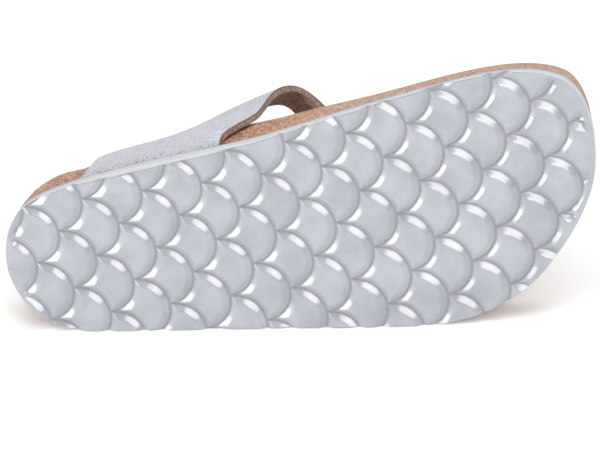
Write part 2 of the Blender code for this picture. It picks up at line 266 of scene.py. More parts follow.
def remember(piece, name, values):
    """Stores one number for each point, for the finishes to read by this name."""
    piece.data.attributes.new(name, "FLOAT", "POINT").data.foreach_set("value", values)


def wear(piece, *materials):
    """Gives a piece its finishes, in the order of the numbers that its faces hold."""
    for material in materials:
        piece.data.materials.append(material)
        print(piece.name, "wears", material.name)


# %% [markdown]
# ## Floor and light
# Studio pictures of shoes are lit by large white boxes over a white table. Small lamps would leave hard
# shadows, so a sky of even white does most of the work here and three soft boxes add direction: glossy
# rubber only looks glossy when something bright and something less bright are there to be mirrored.

# %% Lay the floor
FLOOR_SIZE = 12.0
FLOOR_CUTS = 8
FLOOR_WHITE = (0.96, 0.96, 0.96, 1.0)
FLOOR_SHADE = (0.95, 0.95, 0.95, 1.0)


def lay_floor():
    bpy.ops.mesh.primitive_grid_add(
        x_subdivisions=FLOOR_CUTS, y_subdivisions=FLOOR_CUTS, size=FLOOR_SIZE
    )
    floor = bpy.context.object
    floor.name = "studio_floor"
    finish = Finish("studio_floor")
    tone = finish.mix(finish.cloud(180.0), FLOOR_WHITE, FLOOR_SHADE)
    finish.surface({"Base Color": tone, "Roughness": 0.85})
    wear(floor, finish.material)
    remember_places(floor)
    floor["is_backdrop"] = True


lay_floor()

# %% Light the scene
SKY_WHITE = (1.0, 1.0, 1.0, 1.0)
SKY_STRENGTH = 0.34
LIGHT_AIM = Vector((0.0, 0.0, 0.05))
SoftBox = namedtuple("SoftBox", "name place size power")
SOFT_BOXES = [
    SoftBox("top_box", (0.25, -0.1, 1.5), (1.8, 1.4), 19.0),
    SoftBox("left_box", (-1.15, -0.75, 0.45), (0.80, 0.80), 13.0),
    SoftBox("front_box", (0.66, -1.10, 0.62), (0.90, 0.74), 12.0),
]


def light_sky():
    world = bpy.data.worlds.new("studio_sky")
    world.use_nodes = True
    sky = world.node_tree.nodes["Background"]
    sky.inputs["Color"].default_value = SKY_WHITE
    sky.inputs["Strength"].default_value = SKY_STRENGTH
    bpy.context.scene.world = world


def hang_soft_box(box):
    data = bpy.data.lights.new(box.name, "AREA")
    data.shape = "RECTANGLE"
    data.size, data.size_y = box.size
    data.energy = box.power
    light = bpy.data.objects.new(box.name, data)
    bpy.context.scene.collection.objects.link(light)
    light.location = box.place
    aim = LIGHT_AIM - light.location
    light.rotation_euler = aim.to_track_quat("-Z", "Y").to_euler()


light_sky()
for box in SOFT_BOXES:
    hang_soft_box(box)
bpy.context.scene.view_settings.view_transform = "Standard"
print("soft boxes:", len(SOFT_BOXES))

# %% [markdown]
# ## Measuring the solids
# A finer mesh has to lie where its solid lies. The sizes could be typed in again, but then a change of the
# solid would leave the looks behind. Instead the solid is turned upright and probed with rays, as a maker
# would run callipers along it.


# %% Probe the solids
def solid_points(node):
    """The solid's corners in the sandal's frame, in millimetres."""
    return np.array([upright @ vertex.co for vertex in frame["nodes"][node].data.vertices]) / MM


def solid_tree(node):
    """The solid's faces, sorted so that a ray finds the first one fast."""
    faces = [list(face.vertices) for face in frame["nodes"][node].data.polygons]
    return BVHTree.FromPolygons(solid_points(node).tolist(), faces)


def probe(tree, start, direction):
    """Where a ray from outside first meets the solid."""
    return tree.ray_cast(Vector(start), Vector(direction))[0]


def softened(values, reach):
    """Values smoothed along a line by a bell of this many samples; the ends stay put."""
    tail = 3 * reach
    offsets = np.arange(-tail, tail + 1)
    bell = np.exp(-0.5 * (offsets / reach) ** 2)
    padded = np.concatenate([
        2 * values[0] - values[tail:0:-1],
        values,
        2 * values[-1] - values[-2:-tail - 2:-1],
    ])
    return np.convolve(padded, bell / bell.sum(), "valid")


sole_tree = solid_tree("outsole")
sole_points = solid_points("outsole")
OUTSIDE = 300.0
tread_top = probe(sole_tree, (HEEL_SPOT_ALONG, 0.0, OUTSIDE), (0, 0, -1)).z
print("sole thickness", round(tread_top, 2), "mm")

# %% [markdown]
# ## The outsole's outline
# The outline of a sole is one long closed curve. It could be drawn as a spline, but the solid has it
# already: rows are set across it from heel to toe, closer together at both round ends, and a ray from
# each side finds the wall. The small corners of its facets are eased away, because glossy rubber shows
# every one of them.

# %% Follow the tread from heel to toe
TREAD_FACING = 0.7
WALL_PROBE = 2.0


def ground_line():
    """Height of the tread along the sole, read from the faces of the solid that look up."""
    mesh = frame["nodes"]["outsole"].data
    facing_up = [face for face in mesh.polygons if face.normal.dot(up_axis) > TREAD_FACING]
    upper = {index for face in facing_up for index in face.vertices}
    top = sole_points[sorted(upper)]
    top = top[np.argsort(top[:, 0])]
    return top[:, 0], top[:, 2] - tread_top


ground_places, ground_heights = ground_line()


def wall_height(along):
    """Height at which the wall is probed, a little way up from the tread."""
    return float(np.interp(along, ground_places, ground_heights)) + WALL_PROBE


print("the tread rises by up to", round(float(ground_heights.max()), 1), "mm")

# %% Trace the outline
ROW_STEP = 0.56
END_ROUND = 18.0
END_ROWS = 44
TIP_MARGIN = 0.01
GROUND_EASE = 12


def row_places(start, end):
    """Places of the rows along the sole, closer together at both round ends."""
    turns = np.linspace(0.0, math.pi / 2, END_ROWS, endpoint=False)
    bend = END_ROUND * (1 - np.cos(turns))
    count = int((end - start - 2 * END_ROUND) / ROW_STEP)
    middle = np.linspace(start + END_ROUND, end - END_ROUND, count)
    return np.concatenate([start + bend, middle, end - bend[::-1]])


def trace_outline():
    """The wall's plan points along the inner and the outer side, and the tread's height, row by row."""
    heel = sole_points[sole_points[:, 0].argmin()]
    toe = sole_points[sole_points[:, 0].argmax()]
    start = probe(sole_tree, (-OUTSIDE, heel[1], wall_height(heel[0])), (1, 0, 0)).x
    end = probe(sole_tree, (2 * OUTSIDE, toe[1], wall_height(toe[0])), (-1, 0, 0)).x
    rows = row_places(start, end)
    inner = []
    outer = []
    for along in np.clip(rows, start + TIP_MARGIN, end - TIP_MARGIN):
        inner.append(probe(sole_tree, (along, -OUTSIDE, wall_height(along)), (0, 1, 0)).y)
        outer.append(probe(sole_tree, (along, OUTSIDE, wall_height(along)), (0, -1, 0)).y)
    ground = softened(np.interp(rows, ground_places, ground_heights), GROUND_EASE)
    return rows, np.array(inner), np.array(outer), ground


row_along, row_inner, row_outer, row_ground = trace_outline()
print("sole length", round(row_along[-1] - row_along[0], 1), "mm, rows:", len(row_along))
print("ball width", round(float((row_outer - row_inner).max()), 1), "mm")

# %% Turn the outline into a closed loop
LOOP_EASE = 5


def outline_loop():
    """Closed loop of plan points: inner side from heel to toe, then the outer side back."""
    tips = [(row_inner[0] + row_outer[0]) / 2, (row_inner[-1] + row_outer[-1]) / 2]
    inner = np.column_stack([row_along, row_inner])
    outer = np.column_stack([row_along, row_outer])[::-1]
    inner[0, 1] = tips[0]
    inner[-1, 1] = tips[1]
    loop = np.vstack([inner, outer[1:-1]])
    tripled = np.vstack([loop, loop, loop])
    eased = np.column_stack([softened(tripled[:, axis], LOOP_EASE) for axis in range(2)])
    return eased[len(loop):2 * len(loop)]


def inset_loop(loop, inset):
    """The loop moved inwards, square to its edge."""
    tangent = np.roll(loop, -2, axis=0) - np.roll(loop, 2, axis=0)
    tangent /= np.linalg.norm(tangent, axis=1)[:, None]
    return loop + inset * np.column_stack([-tangent[:, 1], tangent[:, 0]])


loop = outline_loop()
print("loop points:", len(loop))

# %% [markdown]
# ## The tread's relief
# The tread is a field of scales: half circles in staggered rows, with a broad bevel on both sides of each
# channel. A Boolean cut would need a very heavy cutter. A height that depends on the distance to the
# nearest half circle does the same with one formula, and points near a channel's middle are drawn onto
# it. The channels run out on a plain lip below the strap's inner foot, and on a plain rim at both round
# ends.

# %% Find the channels
SCALE_RADIUS = 13.0
ROWS_AROUND = (-2, -1, 0, 1)
SNAP_SHARE = 0.48
TINY = 1e-6


def nearest_channel(along, across):
    """Plan distance to the nearest half circle of the tread, and the point of it that is nearest.

    Where the end of a half circle is nearest, the point itself is given back.
    """
    distance = np.full(np.shape(along), np.inf)
    foot_along = np.array(along)
    foot_across = np.array(across)
    row_here = np.floor(along / SCALE_RADIUS)
    for step in ROWS_AROUND:
        row = row_here + step
        shift = (row % 2) * SCALE_RADIUS
        centre = np.round((across - shift) / (2 * SCALE_RADIUS)) * 2 * SCALE_RADIUS + shift
        ahead = along - row * SCALE_RADIUS
        aside = across - centre
        reach = np.maximum(np.hypot(ahead, aside), TINY)
        on_arc = ahead >= 0
        near_ahead = np.where(on_arc, ahead / reach, 0.0) * SCALE_RADIUS
        near_aside = np.where(on_arc, aside / reach, np.sign(aside)) * SCALE_RADIUS
        away = np.hypot(ahead - near_ahead, aside - near_aside)
        nearer = away < distance
        distance = np.where(nearer, away, distance)
        arc_along = np.where(on_arc, near_ahead + row * SCALE_RADIUS, along)
        arc_across = np.where(on_arc, near_aside + centre, across)
        foot_along = np.where(nearer, arc_along, foot_along)
        foot_across = np.where(nearer, arc_across, foot_across)
    return distance, foot_along, foot_across


def snapped(grid):
    """A grid of plan points, in which the points next to a channel's middle are moved onto it.

    Only the nearest point on each line of the grid moves, so that no face collapses.
    """
    distance, foot_along, foot_across = nearest_channel(grid[..., 0], grid[..., 1])
    steps = np.stack([foot_along - grid[..., 0], foot_across - grid[..., 1]], axis=-1)
    way = steps / np.maximum(distance, TINY)[..., None]
    gaps = [np.abs((way * np.gradient(grid, axis=axis)).sum(axis=-1)) for axis in range(2)]
    moves = distance < SNAP_SHARE * np.maximum(*gaps)
    return grid + steps * moves[..., None]


print("scales are", 2 * SCALE_RADIUS, "mm wide")

# %% Keep the edges plain
LIP_WIDTH = 1.2
LIP_FADE = 0.9
LIP_BACK = (35.0, 60.0)
LIP_FRONT = (80.0, 135.0)
RIM_PLAIN = (0.5, 4.5)
HEEL_END = (4.0, 12.0)
TOE_END = (234.0, 244.0)


def eased_step(value, low, high):
    """0 below low, 1 above high, and a soft rise between them."""
    share = np.clip((value - low) / (high - low), 0.0, 1.0)
    return share * share * (3 - 2 * share)


def sorted_points(places):
    """Points sorted so that the one nearest to a place is found fast."""
    tree = KDTree(len(places))
    for index, place in enumerate(places):
        tree.insert(place, index)
    tree.balance()
    return tree


outline_tree = sorted_points([(along, across, 0.0) for along, across in loop])


def lip_share(along):
    """How much of the plain lip there is along the inner edge; it runs below the strap's foot only."""
    return eased_step(along, *LIP_BACK) * (1 - eased_step(along, *LIP_FRONT))


def past_lip(along, across):
    """Plan distance from the lip's edge into the tread, below zero on the lip."""
    return across - np.interp(along, row_along, row_inner) - LIP_WIDTH * lip_share(along)


def plain_share(along, across):
    """1 where the tread runs out into a plain surface: on the lip, and at the edge of both round ends."""
    lip = lip_share(along) * (1 - eased_step(past_lip(along, across), 0.0, LIP_FADE))
    inside = np.array([outline_tree.find((x, y, 0.0))[2] for x, y in zip(along, across)])
    ends = np.maximum(1 - eased_step(along, *HEEL_END), eased_step(along, *TOE_END))
    return np.maximum(lip, ends * (1 - eased_step(inside, *RIM_PLAIN)))


print("plain lip:", LIP_WIDTH, "mm wide")

# %% Shape the relief
BEVEL_WIDTH = 2.9
BEVEL_SOFTNESS = 0.06
CHANNEL_DEPTH = 1.75
PAD_DOME = 0.14
PAD_DOME_REACH = 9.0


def tread_depth(along, across):
    """How deep the tread lies below the tops of its scales, whose edges are bevelled to the channels."""
    away = nearest_channel(along, across)[0]
    share = 1 - away / BEVEL_WIDTH
    bevel = CHANNEL_DEPTH * (share + np.sqrt(share ** 2 + BEVEL_SOFTNESS ** 2)) / 2
    dome = PAD_DOME * (1 - eased_step(away, 0.0, PAD_DOME_REACH))
    return (bevel + dome) * (1 - plain_share(along, across))


print("channels are", CHANNEL_DEPTH, "mm deep")

# %% [markdown]
# ## The outsole's mesh
# Rows of points run across the tread from edge to edge, and rings climb the rounded edge and the low wall
# to the glued top, which sinks towards the toe. One sheet of quads could be displaced by a modifier, but
# points that are computed need no texture and keep the channels open where they run out at the edge. This
# piece and all the others are made upright, and laid down where their solids lie once they are complete.

# %% Helpers for meshes
WELD_REACH = 2e-6


def quads_of_grid(first, rows, columns):
    """Faces between the points of a grid that were added row by row from this index on."""
    index = first + np.arange(rows * columns).reshape(rows, columns)
    corners = [index[:-1, :-1], index[:-1, 1:], index[1:, 1:], index[1:, :-1]]
    return np.stack(corners, axis=-1).reshape(-1, 4)


def piece_from(name, points, faces):
    """A smooth closed mesh object from points in the sandal's frame; points that meet are welded."""
    mesh = bpy.data.meshes.new(name)
    mesh.from_pydata((np.asarray(points) * MM).tolist(), [], [list(map(int, face)) for face in faces])
    shape = bmesh.new()
    shape.from_mesh(mesh)
    bmesh.ops.remove_doubles(shape, verts=shape.verts, dist=WELD_REACH)
    bmesh.ops.recalc_face_normals(shape, faces=shape.faces)
    shape.to_mesh(mesh)
    shape.free()
    mesh.shade_smooth()
    made = bpy.data.objects.new(name, mesh)
    bpy.context.scene.collection.objects.link(made)
    return made


def settle(piece, node):
    """Lays the piece down where its solid is, in whose place it rides on the sandal."""
    remember_places(piece)
    piece.data.transform(lying)
    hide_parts(node)
    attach(piece, "root")
    triangles = sum(len(face.vertices) - 2 for face in piece.data.polygons)
    print(piece.name, "triangles:", triangles)


# %% Set the heights of the wall
EDGE_ROUND = 0.55
EDGE_STEPS = 6
WALL_DRAFT = 0.05
WALL_STEPS = 4
JOINT_DROP = 2.3
JOINT_ENDS = (150.0, 195.0)


def joint_drop(along):
    """How far the joint of rubber and cork sinks towards the toe, where the rubber's wall is thin."""
    return JOINT_DROP * eased_step(along, *JOINT_ENDS)


def edge_levels():
    """Height above the ground and inset of each ring, from the tread's edge to the top."""
    turns = np.linspace(0.0, math.pi / 2, EDGE_STEPS + 1)
    levels = [(EDGE_ROUND * (1 - math.cos(turn)), EDGE_ROUND * (1 - math.sin(turn))) for turn in turns]
    for share in np.linspace(0.0, 1.0, WALL_STEPS + 1)[1:]:
        levels.append((EDGE_ROUND + (tread_top - EDGE_ROUND) * share, WALL_DRAFT * share))
    return levels


def sole_point_heights(plan, level):
    """Heights of plan points at one level of the sole, or in a channel where that is higher."""
    ground = np.interp(plan[:, 0], row_along, row_ground)
    level = level * (1 - joint_drop(plan[:, 0]) / tread_top)
    return ground + np.maximum(level, tread_depth(plan[:, 0], plan[:, 1]))


print("rings of the edge and the wall:", len(edge_levels()))

# %% Build the outsole
TREAD_COLUMNS = 168
EDGE_LINES = 5


def sides_of(ring):
    """The inner and the outer side of a ring, row by row from heel to toe; both hold the two tips."""
    half = len(row_along)
    return ring[:half], np.vstack([ring[0], ring[half:][::-1], ring[half - 1]])


def tread_plan():
    """Plan points of the tread, in rows that run across it from edge to edge."""
    inner, outer = sides_of(inset_loop(loop, EDGE_ROUND))
    shares = np.linspace(0.0, 1.0, TREAD_COLUMNS)[None, :, None]
    grid = inner[:, None] + (outer - inner)[:, None] * shares
    core = slice(EDGE_LINES, -EDGE_LINES)
    grid[core, core] = snapped(grid)[core, core]
    return grid.reshape(-1, 2)


def build_outsole():
    half = len(row_along)
    plan = tread_plan()
    points = [np.column_stack([plan, sole_point_heights(plan, 0.0)])]
    faces = [quads_of_grid(0, half, TREAD_COLUMNS)]
    levels = edge_levels()
    for level, inset in levels:
        ring = inset_loop(loop, inset)
        ring = np.vstack([ring, ring[:1]])
        points.append(np.column_stack([ring, sole_point_heights(ring, level)]))
    faces.append(quads_of_grid(len(plan), len(levels), len(loop) + 1))
    lid = np.stack(sides_of(inset_loop(loop, WALL_DRAFT)), axis=1).reshape(-1, 2)
    faces.append(quads_of_grid(sum(map(len, points)), half, 2))
    points.append(np.column_stack([lid, sole_point_heights(lid, tread_top)]))
    return piece_from("tread_outsole", np.vstack(points), np.vstack(faces))


outsole = build_outsole()
print("outsole points:", len(outsole.data.vertices))

# %% [markdown]
# ## Pearl rubber
# The outsole is a light foam rubber with a pearly, half glossy skin. A plain grey would look like putty.
# The skin gets faint clouds of lighter and cooler grey, painted shade in each channel, a painted shadow
# line along the inner edge, a fine unevenness, and a thin clear coat for the gleam along the shoulders of
# the channels. The lip and the low wall, which were trimmed after moulding, are paler and dull, and the
# wall's paler grey is partly painted light for the inner wall, which faces up to the lamps. Their masks
# could be painted, but distances that are stored at the points of the mesh keep them exactly on the shape.

# %% Mark the channels and the wall
VALLEY_WIDTH = 1.1
WALL_SLOPE = 0.6
WALL_FINISH = 1


def mark_channels(piece):
    """Stores each point's distance from the nearest channel and from the lip, for the finish to read."""
    along, across, _ = np.array([vertex.co for vertex in piece.data.vertices]).T / MM
    channel = nearest_channel(along, across)[0] + VALLEY_WIDTH * plain_share(along, across)
    remember(piece, "channel", channel)
    remember(piece, "past_lip", past_lip(along, across))


def mark_wall(piece):
    """Gives the faces that stand upright on the sole the second finish."""
    upright_faces = [face for face in piece.data.polygons if abs(face.normal.z) < WALL_SLOPE]
    for face in upright_faces:
        face.material_index = WALL_FINISH
    print("faces of the wall:", len(upright_faces))


mark_channels(outsole)
mark_wall(outsole)

# %% Finish the outsole
PEARL_DARK = (0.250, 0.260, 0.290, 1.0)
PEARL_LIGHT = (0.326, 0.336, 0.367, 1.0)
# Painted shade: the darker grey laid into each channel and into a thin line along the inner edge.
CHANNEL_SHADE_GREY = (0.185, 0.190, 0.213, 1.0)
LIP_GREY = (0.385, 0.392, 0.408, 1.0)
# Paler greys of the wall: partly the trimmed rubber, partly painted light for the inner wall that faces up
# to the lamps.
WALL_DARK = (0.475, 0.485, 0.505, 1.0)
WALL_LIGHT = (0.560, 0.570, 0.585, 1.0)


def pearl_rubber():
    """The moulded skin: clouded, with painted shade in the channels and a painted shadow line along the
    inner edge, and glossy except on the lip.
    """
    finish = Finish("pearl_rubber")
    clouds = finish.between(finish.cloud(16.0, 4.0), 0.25, 0.75)
    away = finish.read("channel")
    grey = finish.mix(clouds, PEARL_DARK, PEARL_LIGHT)
    # Painted shade: the grey darkens towards the middle of each channel.
    grey = finish.mix(finish.between(away, 0.0, VALLEY_WIDTH), CHANNEL_SHADE_GREY, grey)
    past = finish.read("past_lip")
    pads = finish.between(past, -0.1, 0.2)
    # Painted shadow: a thin darker line along the inner edge, just past the lip.
    line = finish.between(past, 0.1, 0.3) * (1 - finish.between(past, 0.4, 0.7))
    grey = finish.mix(line * 0.6, grey, CHANNEL_SHADE_GREY)
    grey = finish.mix(pads, LIP_GREY, grey)
    swell = finish.bump(finish.cloud(12.0, 2.0), 0.6, 0.5)
    ripple = finish.bump(finish.cloud(4.5, 3.0), 0.22, 0.5, swell)
    dull = 0.55 - 0.35 * pads + 0.10 * finish.cloud(7.0)
    finish.surface({"Base Color": grey, "Roughness": dull, "Normal": ripple})
    finish.surface({"Coat Weight": 0.85 * pads, "Coat Roughness": 0.07})
    finish.surface({"Specular IOR Level": 0.7})
    return finish.material


def wall_rubber():
    """The trimmed wall: dull and a little rough, and paler, partly as painted light where the inner wall
    faces up to the lamps.
    """
    finish = Finish("wall_rubber")
    tone = finish.mix(finish.cloud(6.0, 4.0), WALL_DARK, WALL_LIGHT)
    rub = finish.bump(finish.cloud(0.7, 2.0), 0.06, 0.5)
    dull = 0.45 + 0.2 * finish.cloud(3.0)
    finish.surface({"Base Color": tone, "Roughness": dull, "Normal": rub})
    finish.surface({"Specular IOR Level": 0.35})
    return finish.material


settle(outsole, "outsole")
wear(outsole, pearl_rubber(), wall_rubber())

# %% [markdown]
# ## Refining a solid
# The other solids are clean shells with few faces. Modelling them anew would repeat their making, so a
# copy is taken, its triangles are paired into quads, its sharp edges are creased and a subdivision
# surface rounds the rest. The copy then has the solid's own form with no facets.

# %% Copy a solid
SHARP_ANGLE = math.radians(42)
PAIR_ANGLE = math.radians(60)
SOLID_WELD = 0.005


def solid_copy(node):
    """The solid's surface in the sandal's frame, in millimetres, its triangles joined into quads."""
    shape = bmesh.new()
    shape.from_mesh(frame["nodes"][node].data)
    bmesh.ops.transform(shape, matrix=Matrix.Scale(1 / MM, 4) @ upright, verts=shape.verts)
    bmesh.ops.remove_doubles(shape, verts=shape.verts, dist=SOLID_WELD)
    limits = {"angle_face_threshold": PAIR_ANGLE, "angle_shape_threshold": PAIR_ANGLE}
    bmesh.ops.join_triangles(shape, faces=shape.faces, **limits)
    print(node, "quads and triangles:", len(shape.faces))
    return shape


def crease_sharp(shape, amount):
    """Marks the sharp edges, so that the subdivision keeps them."""
    layer = shape.edges.layers.float.new("crease_edge")
    for edge in shape.edges:
        if len(edge.link_faces) == 2 and edge.calc_face_angle() > SHARP_ANGLE:
            edge[layer] = amount


# %% Refine a copy
def refined(name, shape, levels):
    """A piece from the shape, subdivided and with the subdivision applied."""
    bmesh.ops.scale(shape, vec=(MM, MM, MM), verts=shape.verts)
    mesh = bpy.data.meshes.new(name)
    shape.to_mesh(mesh)
    shape.free()
    made = bpy.data.objects.new(name, mesh)
    bpy.context.scene.collection.objects.link(made)
    smoothing = made.modifiers.new("smooth", "SUBSURF")
    smoothing.levels = levels
    smoothing.render_levels = levels
    bpy.context.view_layer.update()
    graph = bpy.context.evaluated_depsgraph_get()
    made.data = bpy.data.meshes.new_from_object(made.evaluated_get(graph))
    made.modifiers.clear()
    made.data.name = name
    made.data.shade_smooth()
    return made


def displaced(piece, height):
    """Moves each point along its normal by a height in millimetres, a function of place and normal."""
    places = [vertex.co.copy() for vertex in piece.data.vertices]
    normals = [vertex.normal.copy() for vertex in piece.data.vertices]
    pairs = zip(places, normals)
    moved = [place + normal * height(place / MM, normal) * MM for place, normal in pairs]
    piece.data.vertices.foreach_set("co", np.array(moved).ravel())
    piece.data.update()


# %% [markdown]
# ## The cork footbed
# The footbed is pressed from ground cork and latex. Seen close, its side is a packing of crumbs with
# small pits between them. Bump alone would leave a clean outline, so the largest pits and lumps are moved
# in the mesh, and the finish adds the crumbs themselves. The lower edge follows the sinking joint with
# the rubber, and the inner wall of the heel cup swells a little towards the strap.

# %% Build the cork
CORK_WALL_CUTS = 3
JOINT_REACH = 0.8
CORK_LEVELS = 3
CORK_CREASE = 0.8
LUMP_SIZE = 2.2
LUMP_RISE = 0.16
PIT_DEPTH = 0.3
PIT_SIZE = LUMP_SIZE * 0.8
PIT_START = 0.42
PIT_SHIFT = Vector((31, 7, 3))
UPRIGHT_SHARE = 0.85
UPRIGHT_LENGTH = 5.0
HEEL_PLACES = (0.0, 11.0, 20.0, 29.0, 36.0, 38.8, 39.8)
HEEL_SWELL = (0.9, 0.8, -0.3, 0.6, 1.2, 1.8, 0.0)
HEEL_SWELL_RISE = 7.0
HEEL_SWELL_FACING = (0.1, 0.6)


def heel_swell(place, normal):
    """The wall of the heel cup swells on the inner side, towards the strap."""
    if place.y > 0.0 or place.x > HEEL_PLACES[-1]:
        return 0.0
    rise = place.z - np.interp(place.x, row_along, row_ground) - tread_top
    share = eased_step(rise, 0.0, HEEL_SWELL_RISE) * eased_step(-normal.y, *HEEL_SWELL_FACING)
    return share * float(np.interp(place.x, HEEL_PLACES, HEEL_SWELL))


def cork_height(place, normal):
    """Lumps and pits of the cork, and the swelling of the heel cup."""
    lump = noise.noise(place / LUMP_SIZE) * LUMP_RISE
    pit = max(0.0, noise.noise(place / PIT_SIZE + PIT_SHIFT) - PIT_START)
    return lump - pit * PIT_DEPTH + heel_swell(place, normal)


def stands_upright(edge):
    """Whether an edge runs up the cork's wall, from the rubber to the rim."""
    rise = abs(edge.verts[0].co.z - edge.verts[1].co.z)
    length = edge.calc_length()
    return rise > UPRIGHT_SHARE * length and length > UPRIGHT_LENGTH


def build_cork():
    shape = solid_copy("cork_footbed")
    for vertex in shape.verts:
        joint = np.interp(vertex.co.x, row_along, row_ground) + tread_top
        if vertex.co.z < joint + JOINT_REACH:
            vertex.co.z -= joint_drop(vertex.co.x)
    crease_sharp(shape, CORK_CREASE)
    wall = [edge for edge in shape.edges if stands_upright(edge)]
    bmesh.ops.subdivide_edges(shape, edges=wall, cuts=CORK_WALL_CUTS, use_grid_fill=True)
    made = refined("cork_body", shape, CORK_LEVELS)
    displaced(made, cork_height)
    return made


cork = build_cork()
settle(cork, "cork_footbed")

# %% Finish the cork
CORK_STOPS = [
    (0.05, (0.110, 0.058, 0.035, 1.0)),
    (0.35, (0.330, 0.188, 0.125, 1.0)),
    (0.65, (0.490, 0.301, 0.221, 1.0)),
    (0.95, (0.780, 0.540, 0.418, 1.0)),
]
CORK_ROSE = (0.640, 0.450, 0.380, 1.0)
CORK_WARMTH = (0.98, 0.86, 0.74, 1.0)
SPECK_BROWN = (0.120, 0.072, 0.046, 1.0)
PIT_BROWN = (0.20, 0.125, 0.085, 1.0)


def crumb_cork():
    """Crumbs of many browns, rosier towards the toe and warmer under the arch of the foot."""
    finish = Finish("crumb_cork")
    crumbs = finish.cells(1.05, "Color")
    tone = finish.node("ShaderNodeSeparateColor", {}, {"Color": crumbs}, "Red")
    fine = finish.cloud(0.6, 2.0, 0.7)
    mixed = 0.6 * tone + 0.4 * finish.between(fine, 0.32, 0.68)
    colour = finish.node("ShaderNodeValToRGB", {"stops": CORK_STOPS}, {"Fac": mixed})
    along = finish.axis("X")
    drift = along + 40.0 * finish.cloud(9.0)
    rosy = finish.between(drift, 90.0, 210.0)
    warm = finish.between(along, 45.0, 95.0) * (1 - finish.between(drift, 110.0, 190.0))
    colour = finish.mix(rosy * 0.42, colour, CORK_ROSE)
    colour = finish.mix(warm, colour, CORK_WARMTH, "MULTIPLY")
    specks = finish.between(finish.cloud(1.1, 2.0), 0.58, 0.63)
    pits = finish.between(finish.cloud(2.4, 3.0), 0.63, 0.70)
    colour = finish.mix(specks * 0.7, colour, SPECK_BROWN)
    colour = finish.mix(pits * 0.6, colour, PIT_BROWN)
    grain = finish.bump(fine, 0.06, 0.5)
    crumb = finish.bump(1 - pits, 0.2, 0.6, grain)
    finish.surface({"Base Color": colour, "Roughness": 0.74 + 0.16 * tone, "Normal": crumb})
    finish.surface({"Specular IOR Level": 0.3})
    return finish.material


wear(cork, crumb_cork())

# %% [markdown]
# ## The suede lining
# A thin suede covers the whole footbed and ends in a soft edge at the rim. Hair particles could make the
# nap, but they are heavy and too fine to be seen from here. The nap lies in patches that catch the light
# differently, so the finish mixes broad strokes and tufts with a very fine fibre grain.

# %% Build and finish the lining
LINING_LEVELS = 3
LINING_CREASE = 0.35
LINING_DARK = (0.27, 0.203, 0.158, 1.0)
LINING_LIGHT = (0.43, 0.340, 0.275, 1.0)
NAP_SHEEN = (0.80, 0.58, 0.44, 1.0)


def build_lining():
    shape = solid_copy("insole_lining")
    crease_sharp(shape, LINING_CREASE)
    return refined("suede_lining", shape, LINING_LEVELS)


def napped_suede(name, dark, light):
    """A suede whose nap lies in strokes and tufts between two tones, as a finish and its colour."""
    finish = Finish(name)
    strokes = finish.cloud(14.0, 3.0, place=finish.stretched(1.0, 2.2, 1.0))
    tufts = finish.between(finish.cloud(1.5, 3.0, 0.65), 0.3, 0.7)
    fibres = finish.cloud(0.35, 2.0, place=finish.stretched(0.6, 1.4, 1.0))
    colour = finish.mix(0.3 * strokes + 0.45 * tufts + 0.25 * fibres, dark, light)
    nap = finish.bump(fibres, 0.16, 0.7)
    finish.surface({"Base Color": colour, "Roughness": 0.93, "Normal": nap})
    finish.surface({"Sheen Weight": 0.12, "Sheen Tint": NAP_SHEEN, "Specular IOR Level": 0.1})
    return finish, colour


lining = build_lining()
lining_finish, _ = napped_suede("lining_suede", LINING_DARK, LINING_LIGHT)
wear(lining, lining_finish.material)
settle(lining, "insole_lining")

# %% [markdown]
# ## The T-strap
# One piece of leather makes both wings and the tongue. Its outside is coated in pearl white, its
# underside is raw suede, and the cut edge shows the brown leather between. The faces could be picked by
# hand, but they fall into regions between sharp edges: the two largest are the outside and the underside,
# and all the others are the cut edge. A few short folds are pressed into the outside by the inner foot of
# the strap, each as a soft trough along a line that is listed.


# %% Sort the faces into regions
def smooth_regions(shape):
    """Groups of faces that are joined without crossing a sharp edge, the largest first."""
    left = set(shape.faces)
    regions = []
    while left:
        waiting = [left.pop()]
        region = []
        while waiting:
            face = waiting.pop()
            region.append(face)
            for edge in face.edges:
                if edge.calc_face_angle() > SHARP_ANGLE:
                    continue
                for other in edge.link_faces:
                    if other in left:
                        left.remove(other)
                        waiting.append(other)
        regions.append(region)
    return sorted(regions, key=lambda region: -sum(face.calc_area() for face in region))


# %% Press the folds
INNER_FACING = -0.5
WAVE_SIZE = 11.0
WAVE_RISE = 0.12
Crease = namedtuple("Crease", "back front width depth")
CREASES = [
    Crease((92.0, 15.4), (103.0, 9.6), 0.85, 0.70),
    Crease((90.0, 18.6), (102.5, 12.4), 0.85, 0.78),
    Crease((91.0, 21.4), (102.0, 15.8), 0.85, 0.72),
    Crease((93.0, 23.6), (101.5, 19.4), 0.85, 0.50),
    Crease((80.0, 17.0), (89.0, 13.0), 0.90, 0.35),
]


def crease_depth(along, height):
    """Depth of the short folds by the inner foot of the strap, where it bends round the sole."""
    depth = 0.0
    here = Vector((along, height))
    for crease in CREASES:
        back = Vector(crease.back)
        run = Vector(crease.front) - back
        share = (here - back).dot(run) / run.length_squared
        if 0.0 < share < 1.0:
            away = (here - back - run * share).length
            profile = math.exp(-(away / crease.width) ** 2) * math.sin(math.pi * share)
            depth += crease.depth * profile
    return depth


def strap_height(place, normal):
    """Soft waves of the leather, and the folds on its inner side."""
    wave = noise.noise(place / WAVE_SIZE) * WAVE_RISE
    if normal.y > INNER_FACING or place.y > 0.0:
        return wave
    return wave - crease_depth(place.x, place.z)


print("folds:", len(CREASES))

# %% Build the strap
STRAP_LEVELS = 3
STRAP_CREASE = 0.72
FOOT_SLOPE = -0.6
FOOT_HEIGHT = 7.5
COATED, UNDERSIDE, CUT_EDGE = range(3)


